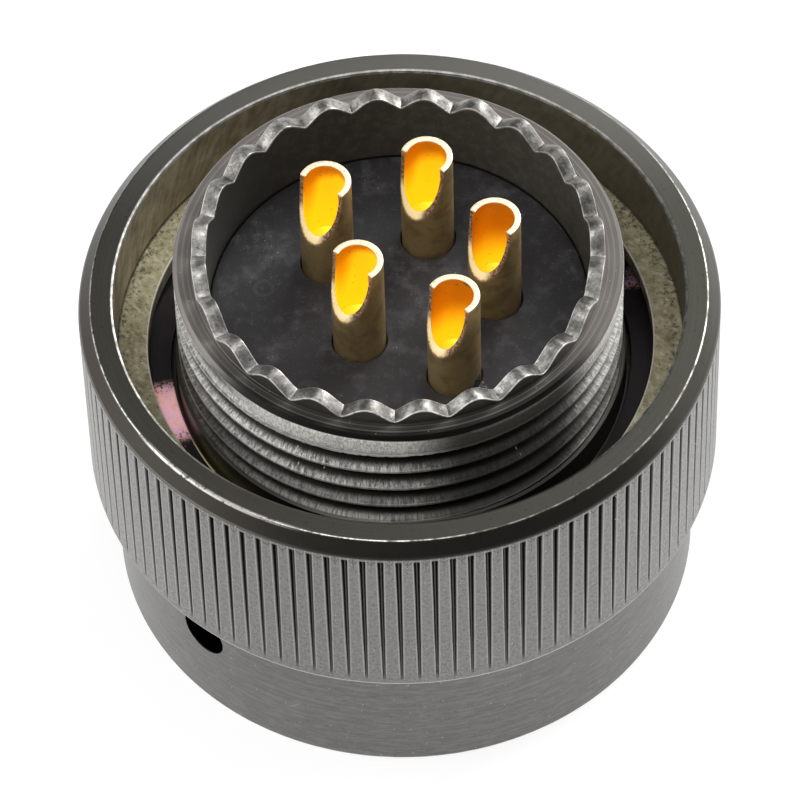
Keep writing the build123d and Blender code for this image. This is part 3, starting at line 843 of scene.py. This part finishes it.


# Shell's finish, with painted light and shade
def thread_wear_and_light(f, skin, colour):
    """Worn metal between fine upright cracks, with painted light and shade: brighter towards the crests and at the
    right, darker at the front right, a painted highlight along each crest's lower edge; roots black as painted
    shade, and painted shade on the land at the front and under the shoulder.
    """
    threaded = f.zone(tooth_r, 0.05, 0.12, thread_low, -0.02, 0.05)
    threaded = threaded * f.z.near(chamfer, 0.02, -0.05)
    # painted light: the wear shows brighter towards the crest, darker towards the root
    flank = f.r.near(thread_r, -0.58, -0.02)
    flank = flank * (flank * 0.6 + 0.4)
    upright = f.combine(f.angle * thread_r * 6.6 + f.noise(2.6) * 1.6, f.z * 1.5)
    cracks = f.cells(1, upright, "DISTANCE_TO_EDGE").step(0.08, 0.015) * threaded
    crumbs = f.noise(6, 5, 0.78, skin).step(0.4, 0.62)
    first_band = f.z.near(thread_edge, 0.02, 0.1)
    # painted shade at the front right; painted light at the right side
    lit_side = 1 - f.angle.band(0.5, 0.22, 0.3) * 0.85
    right_side_highlight = f.angle.step(0.85, 1.15)
    # real wear, plus painted light at the right side, scaled by the painted light and shade above
    worn = 0.08 + first_band * 0.52 + f.draw(1, upright) * 0.2
    worn = worn + crumbs * (0.95 - first_band * 0.5) + right_side_highlight * 0.22
    worn = worn * threaded * flank * lit_side * f.z.step(thread_low, thread_low + 3.2, 0.35, 1)
    worn = worn * (1 - f.angle.band(-1.35, 0.3, 0.35) * 0.35)
    phase = (f.z - thread_edge) / thread_pitch - (f.angle - pi / 2 - edge_angle) * (1 / TURN)
    phase = (phase + 20).math("FRACT")
    crest = threaded * f.r.near(thread_r, -0.07, -0.02)
    # painted highlight along each crest's lower edge
    lip = crest * phase.step(0.17, 0.13)
    fine_line = crest * (phase.band(0.175, 0.008, 0.012) | phase.band(0.25, 0.004, 0.01) * 0.6)
    # painted shade: roots near black
    root = f.r.near(thread_r, -0.1, -0.4) * threaded
    # painted shade on the land at the front
    land = f.zone(thread_r, -0.05, 0, thread_low, 0.05, -0.02)
    # painted shade just under the shoulder, at the front
    shade_under_shoulder = f.z.band(chamfer + 0.1, 0.09, 0.03)
    shade_under_shoulder = shade_under_shoulder * f.r.near(tooth_r, 0.3, 0.4)
    colour = colour.coats(
        (worn, (0.9, 0.885, 0.84)),
        # painted shade at the front right
        ((1 - lit_side) * threaded * 0.65, (0.03, 0.029, 0.026)),
        (cracks * (1 - lip) * (0.55 - first_band * 0.15), (0.05, 0.05, 0.045)),
        # painted highlight on the crests' edges
        (lip * lit_side * 0.6, (0.8, 0.79, 0.75)),
        (fine_line * 0.75, (0.05, 0.05, 0.045)),
        # painted shade in the roots
        (root * 0.95, (0.008, 0.008, 0.007)),
        (land * f.aside.step(1, 0.6) * 0.7, (0.03, 0.029, 0.026)),
        (shade_under_shoulder * 0.92 * f.aside.step(1.15, 0.75), (0.01, 0.01, 0.009)))
    return colour, worn, crumbs * threaded * 0.7 - cracks * 0.6


def teeth_wear_and_light(f, grain, colour):
    """Greyish tops, lighter where they face up and at the left as painted light, worn bright in places, with nicks;
    broken bright edges facing up, worn and painted as a highlight.
    """
    up = f.parts(f.node("NewGeometry", output="Normal"))[2]
    on_teeth = f.z.step(tooth_crest - tooth_depth - 0.12, tooth_crest - tooth_depth - 0.02)
    # painted light: surfaces that face up are lighter
    tops = on_teeth * up.step(0.25, 0.55)
    broken = f.noise(3, 4, 0.7).step(0.36, 0.55)
    rubbed = f.noise(1.6, 4, 0.65).step(0.45, 0.62)
    nicks = f.noise(6, 4, 0.75).step(0.5, 0.38)
    # painted light: lighter at the left
    left = f.angle.band(-1.1, 0.6, 0.4)
    # bright edges that face up: worn metal and painted highlight
    edge = f.r.band(tooth_r, 0.02, 0.03) | f.r.band(rear_r, 0.02, 0.03)
    edge = edge * on_teeth * up.step(0, 0.3)
    return colour.coats(
        (tops * (0.22 + rubbed * 0.5 + left * 0.25 + (grain - 0.5) * 0.6), (0.55, 0.54, 0.51)),
        (tops * nicks * 0.6, (0.09, 0.088, 0.08)),
        (edge * (0.35 + broken * 0.6), (0.78, 0.77, 0.74))), tops


def shell_finish_and_light():
    """Dark plating: scuffed in the bore, dusty on the shoulder, worn on the thread and teeth, with painted light
    and shade on both.
    """
    f = Finish("worn_shell_plating_painted_light")
    skin = f.unrolled(thread_r)
    cloud, grain, fine, lines = f.noise(0.4, 4), f.noise(9, 4, 0.7), f.noise(24, 2, 0.6), f.turned_lines(11)
    outside = f.r.near(tooth_r, -0.3, -0.1)
    bore = f.zone(rear_r, 0.04, 0.01, rear_high[2], 0, 0.05)
    scuffs = 0.35 + f.noise(2, 5, 0.68).step(0.42, 0.66) * 0.4
    colour = f.mix(cloud, (0.072, 0.071, 0.062), (0.115, 0.113, 0.102)).coats(
        (lines.step(0.5, 0.7) * outside * 0.25, (0.26, 0.255, 0.23)),
        (bore * scuffs * (1 - f.angle.band(-1.5, 0.7, 0.5) * 0.85), (0.24, 0.225, 0.185)))
    colour, worn, thread_relief = thread_wear_and_light(f, skin, colour)
    dusty = outside * f.z.near(chamfer, -0.1, 0.1) * f.aside.step(0.75, 1.15)
    stripe = f.r.band(tooth_r + 0.17, 0.02, 0.03) | f.r.band(tooth_r + 0.42, 0.03, 0.03)
    stripe = stripe * f.z.band(thread_shoulder, 0.03, 0.02)
    colour = colour.coats((dusty * (0.45 + cloud * 0.4), (0.23, 0.205, 0.19)), (stripe * 0.5, (0.3, 0.29, 0.26)))
    colour, tops = teeth_wear_and_light(f, grain, colour)
    colour = f.mix(f.specks(1.6, 0.05, 0.22, skin) * 0.7, colour, (0.7, 0.7, 0.68))
    relief = grain * (0.45 + tops * 0.8) + fine * 0.25 + lines * 0.3 + thread_relief
    return f.finish(Base_Color=colour, Metallic=0.9 - worn * 0.75 - bore * 0.3 - dusty * 0.5,
                    Roughness=0.4 + (grain - 0.5) * 0.2 + worn * 0.15, Normal=f.bump(relief, 0.35, 0.02))


# Other finishes, some with painted light and shade
def ring_finish_and_shade():
    """Yellow-olive, speckled near the wall and painted dark as shade at the wall's corner, with slanted tool marks
    inwards.
    """
    f = Finish("olive_ring_plating_painted_shade")
    cloud = f.noise(1.1, 5, 0.65)
    base = f.ramp(cloud, (0.3, (0.24, 0.2, 0.115)), (0.52, (0.4, 0.36, 0.22)), (0.72, (0.55, 0.52, 0.36)))
    marks = f.noise(1, 3, 0.6, f.combine(f.r * 1.2 - f.angle * 14, f.r * 3 + f.angle * 34))
    near_wall = f.r.near(recess_r, -1.1, -0.2)
    freckles = f.noise(4.5, 4, 0.7).step(0.5, 0.6)
    # painted shade in the corner where the ring meets the nut's wall
    wall = f.r.band(recess_r + f.noise(1.5) * 0.12, 0.1, 0.1)
    inner = f.r.band(ring_inner_r, 0.045, 0.04) * f.z.near(ring_high[2], -0.15, -0.05)
    colour = base.coats(
        (marks.step(0.48, 0.7) * 0.55, (0.74, 0.7, 0.52)),
        (freckles * (0.25 + near_wall * 0.55), (0.07, 0.06, 0.035)),
        (f.specks(2.6, 0.16, 0.4, f.plan) * 0.7, (0.04, 0.035, 0.02)),
        (wall * 0.85, (0.03, 0.026, 0.016)),
        (inner * 0.8, (0.85, 0.78, 0.68)))
    return f.finish(Base_Color=colour, Metallic=0.25, Roughness=0.46 + cloud * 0.14,
                    Normal=f.bump(marks * 0.5 + f.noise(10) * 0.5, 0.3, 0.02))


def spring_finish_and_sheen():
    """Near black, with a pink and gold film painted as a sheen at the left and faintly at the right, and in patches
    at the back; painted glints, a painted highlight on part of the inner edge, and a painted glow.
    """
    f = Finish("iridescent_spring_painted_sheen")
    turn = f.angle * (180 / pi)
    # painted sheen: the film shows at the left, faintly at the right
    left = turn.band(-74.5, 3, 10)
    right = turn.band(66, 2, 5) * 0.18
    back = f.noise(0.3, 2, 0.5).step(0.55, 0.68) * abs(turn).step(95, 110)
    sheen_and_film = left | right | back * 0.7
    film = f.ramp(f.noise(0.9, 3, 0.5), (0.36, (0.62, 0.36, 0.16)), (0.48, (0.86, 0.5, 0.5)),
                  (0.62, (0.66, 0.42, 0.66)))
    pits = f.noise(7, 4, 0.8).step(0.5, 0.6)
    shown = (sheen_and_film - pits * 0.35 - f.noise(2.2, 4, 0.7) * 0.45).step(0, 0.5)
    # painted glints
    glints = f.specks(5, 0.22, 0.25, f.plan) * turn.band(-50, 12, 6)
    # painted highlight: a yellow line on part of the inner edge
    edge = f.r.band(spring_inner_r, 0.05, 0.03) * turn.band(-48, 12, 10)
    colour = f.mix(shown, (0.016, 0.011, 0.014), film).coats(
        (glints * 0.8, (0.75, 0.45, 0.45)), (edge, (0.95, 0.88, 0.5)))
    # painted glow on the sheen at the left and on the edge line
    film_glow = f.mix(turn.step(-84, -74), (0.26, 0.12, 0.05), (0.34, 0.17, 0.2))
    glow = f.mix(left * shown, (0, 0, 0), film_glow).coats((edge, (0.12, 0.1, 0.022)))
    return f.finish(Base_Color=colour, Metallic=0.5, Roughness=0.34 + pits * 0.2, Emission_Color=glow,
                    Emission_Strength=1, Normal=f.bump(pits, 0.2, 0.01))


def gold_finish_and_glow(letter):
    """Gold: deep yellow in the cup, painted as light bounced inside it, with a painted glow; the rim and the cut's
    foot pale, painted as a highlight with a glow; tarnished elsewhere.
    """
    f = Finish(f"gold_plate_painted_glow_{letter}")
    (middle_x, middle_y), top = centres[letter], boxes[letter][1][2]
    facing = radians(scoop_angles[letter])
    across_x, across_y = f.x - middle_x, f.y - middle_y
    reach = (across_x * across_x + across_y * across_y) ** 0.5
    forward = (across_x * cos(facing) + across_y * sin(facing)) / reach
    rightward = across_y * cos(facing) - across_x * sin(facing)
    below = top - f.z
    cloud, speckle = f.noise(2.2, 4, 0.6), f.noise(8, 4, 0.7)
    dark_specks = speckle.step(0.54, 0.66)
    tarnish = f.noise(1.2, 3, 0.6).step(0.45, 0.65)

    # inside: painted light bounced in the cup, orange under the rim and at the left, yellow lower down, with a
    # painted glow
    wall = (forward | 0) ** 2 * -cup_foot_step + cup_wide_r
    inside = reach.near(wall, 0.03, 0.008) * below.near(cup_bore_depth, 0.3, 0)
    deep = cup_orange[letter] + abs(rightward - 0.1) * 0.4
    low = ((below + cloud * 0.3) / deep).step(0.5, 1.25) * (rightward + below * 0.12).step(-1, -0.55)

    # rim and cut: pale gold painted as a highlight with a glow on the rim and the cut's foot, dark and speckled up
    # the cut's sides
    rim = below.step(0.1, 0.05) * reach.near(cup_bore_r, -0.01, 0.01)
    cut = reach.near(wall, 0.008, 0.03) * below.near(scoop_length, 0.25, 0.15)
    cut = (cut | rim) * reach.near(cup_r, 0, -0.02)
    # painted highlight: the pale rim and the cut's foot
    foot = (below + cloud * 0.4).step(1.7, 2.4) * rightward.step(0.62, 0.2)
    pale = cut * (rim | foot)
    copper = cut * (reach + (speckle - 0.5) * 0.12).near(cup_r, -0.06, -0.01)
    copper = copper * below.step(0.3, 1)
    spots = (f.noise(7, 3, 0.65) + below.step(1.8, 0.2) * 0.05).step(0.66, 0.72)
    colour = f.mix(cloud, (0.4, 0.285, 0.125), (0.6, 0.43, 0.2)).coats(
        (tarnish * 0.45, (0.22, 0.15, 0.068)),
        (inside, f.mix(low, (0.66, 0.26, 0.006), (0.98, 0.68, 0.018))),
        (cut, f.mix(speckle.step(0.44, 0.58), (0.16, 0.105, 0.05), (0.75, 0.46, 0.3))),
        (pale, f.mix(rim, (1, 0.86, 0.52), (1, 0.92, 0.72))),
        (pale * dark_specks * 0.55, (0.72, 0.42, 0.16)),
        (copper * 0.85, (0.3, 0.15, 0.055)),
        (spots * 0.75, (0.16, 0.06, 0.012)))
    # painted glow in the cup
    glow = f.mix(low, (0.1, 0.017, 0), (0.38, 0.26, 0.004))
    glow = f.mix(inside * (1 - spots * 0.8), (0, 0, 0), glow).coats(
        # painted glow on the pale rim and foot
        (pale, f.mix(rim, (0.46, 0.33, 0.15), (0.27, 0.2, 0.1))),
        (copper * 0.9, (0.02, 0.01, 0)),
        (pale * dark_specks * 0.5, (0.12, 0.06, 0.01)))
    for crumb in cup_crumbs.get(letter, ()):
        lump, dirt = f.crumb(*crumb)
        colour, glow = f.mix(lump, colour, dirt), f.mix(lump, glow, (0, 0, 0))
    return f.finish(Base_Color=colour, Metallic=0.55 - inside * 0.25, Roughness=0.34 + cloud * 0.14 + cut * 0.05,
                    Emission_Color=glow, Emission_Strength=1, Normal=f.bump(f.noise(9, 3), 0.15, 0.012))


def insert_finish(name, dark, light, rings=()):
    """Moulded dark grey with smudges and dust, and where rings are given, those and a crumb."""
    f = Finish(name)
    smudge = f.noise(0.9, 5, 0.68).step(0.48, 0.68)
    freckles = f.noise(7, 4, 0.75).step(0.6, 0.68)
    dust = f.specks(1.5, 0.05, 0.3, f.plan) | f.specks(3.1, 0.07, 0.12, f.plan) | f.specks(5.5, 0.1, 0.1, f.plan)
    colour = f.mix(f.noise(0.5, 5, 0.6), dark, light).coats(
        (smudge * 0.55, (0.09, 0.09, 0.096)),
        (freckles * 0.35, (0.14, 0.14, 0.145)),
        (dust * (0.15 + smudge * 0.5), (0.55, 0.55, 0.54)))
    relief = f.noise(6, 4, 0.7)
    for x, y, size in rings:
        away = ((f.x - x) ** 2 + (f.y - y) ** 2) ** 0.5
        ring = (away + relief * 0.25).band(size + 0.12, 0.05, 0.07)
        colour = f.mix(ring * 0.3, colour, (0.075, 0.073, 0.076))
        relief = relief + ring * 2
    if rings:
        colour = colour.coats(f.crumb(*foot_crumb))
    return f.finish(Base_Color=colour, Roughness=0.46 + smudge * 0.16, Specular_IOR_Level=0.5,
                    Normal=f.bump(relief, 0.25, 0.015))


def steel_finish():
    """Plain steel, a little cloudy."""
    f = Finish("plain_steel")
    cloud = f.noise(2, 3)
    return f.finish(Base_Color=f.mix(cloud, (0.45, 0.44, 0.42), (0.6, 0.59, 0.57)), Metallic=1,
                    Roughness=0.3 + cloud * 0.15)


# Floor, light and camera
def make_floor():
    """Flat pale square under the plug, two metres out to each side."""
    x, y = np.meshgrid(*[np.linspace(-2000, 2000, 3)] * 2)
    floor = surface("floor", np.stack([x, y, 0 * x], axis=-1))
    f = Finish("white_floor")
    pale = f.mix(f.noise(0.01), (0.29, 0.29, 0.29), (0.31, 0.31, 0.31))
    dress(floor, f.finish(Base_Color=pale, Roughness=0.9, Specular_IOR_Level=0, Emission_Color=(1, 1, 1, 1),
                          Emission_Strength=0.8))


def put(name, kind, aim, azimuth, elevation, distance, settle=Matrix()):
    """Puts a lamp or camera where it faces an aim, in degrees; azimuth 0 is the front."""
    placed = bpy.data.objects.new(name, kind)
    turn = Matrix.Rotation(radians(azimuth), 4, "Z") @ Matrix.Rotation(radians(90 - elevation), 4, "X")
    aim = Matrix.Translation([number * MM for number in aim])
    placed.matrix_world = aim @ turn @ Matrix.Translation((0, 0, distance * MM)) @ settle
    bpy.context.scene.collection.objects.link(placed)
    return placed


def panel(name, azimuth, elevation, power):
    """Soft square light that faces the plug."""
    light = bpy.data.lights.new(name, "AREA")
    light.energy, light.size = power, 170 * MM
    put(name, light, (0, 0, 15), azimuth, elevation, 420)


def make_camera():
    """Long lens from above the front, where the photograph was taken."""
    elevation, distance, tilt, roll = 51.867, 275.6, -1.043, 1.783
    lens = bpy.data.cameras.new("camera")
    lens.lens, lens.sensor_width = 271.84, 36
    lens.clip_start, lens.clip_end = 0.01, 10
    settle = Matrix.Rotation(radians(tilt), 4, "X") @ Matrix.Rotation(radians(-roll), 4, "Z")
    bpy.context.scene.camera = put("camera", lens, (-0.11, 0, nut_length), 0, elevation, distance, settle)


def make_world():
    """Soft studio round the plug: dark, with a bright wall at the left and a bright ceiling."""
    world = bpy.data.worlds.new("studio")
    world.use_nodes = True
    tree = world.node_tree
    f = Graph(tree)
    x, y, z = f.parts(f.node("TexCoord", output="Generated"))
    left = x.step(-0.55, -0.95)
    ceiling = z.step(0.8, 0.95)
    level = 0.03 + left * 1.9 + ceiling * 0.92
    f.feed(tree.nodes["Background"], {"Color": f.mix(level * 0.5, (0, 0, 0), (2, 2, 2))})
    bpy.context.scene.world = world


make_nut()
make_ring()
make_spring()
make_shell()
make_rear_insert()
make_front_insert()
make_gasket()
steel = steel_finish()
dress(nodes["thrust_washer"], steel)
for letter in LETTERS:
    make_contact(letter)
    dress(nodes[f"contact_hood_{letter}"], steel)
make_floor()
make_world()
panel("key", -24, 66, 0.48)
panel("back_right", 130, 30, 1.1)
panel("back", 150, 40, 0.34)
panel("right", 100, 24, 0.28)
panel("left", -95, 30, 0.23)
make_camera()
bpy.context.scene.view_settings.view_transform = "Standard"
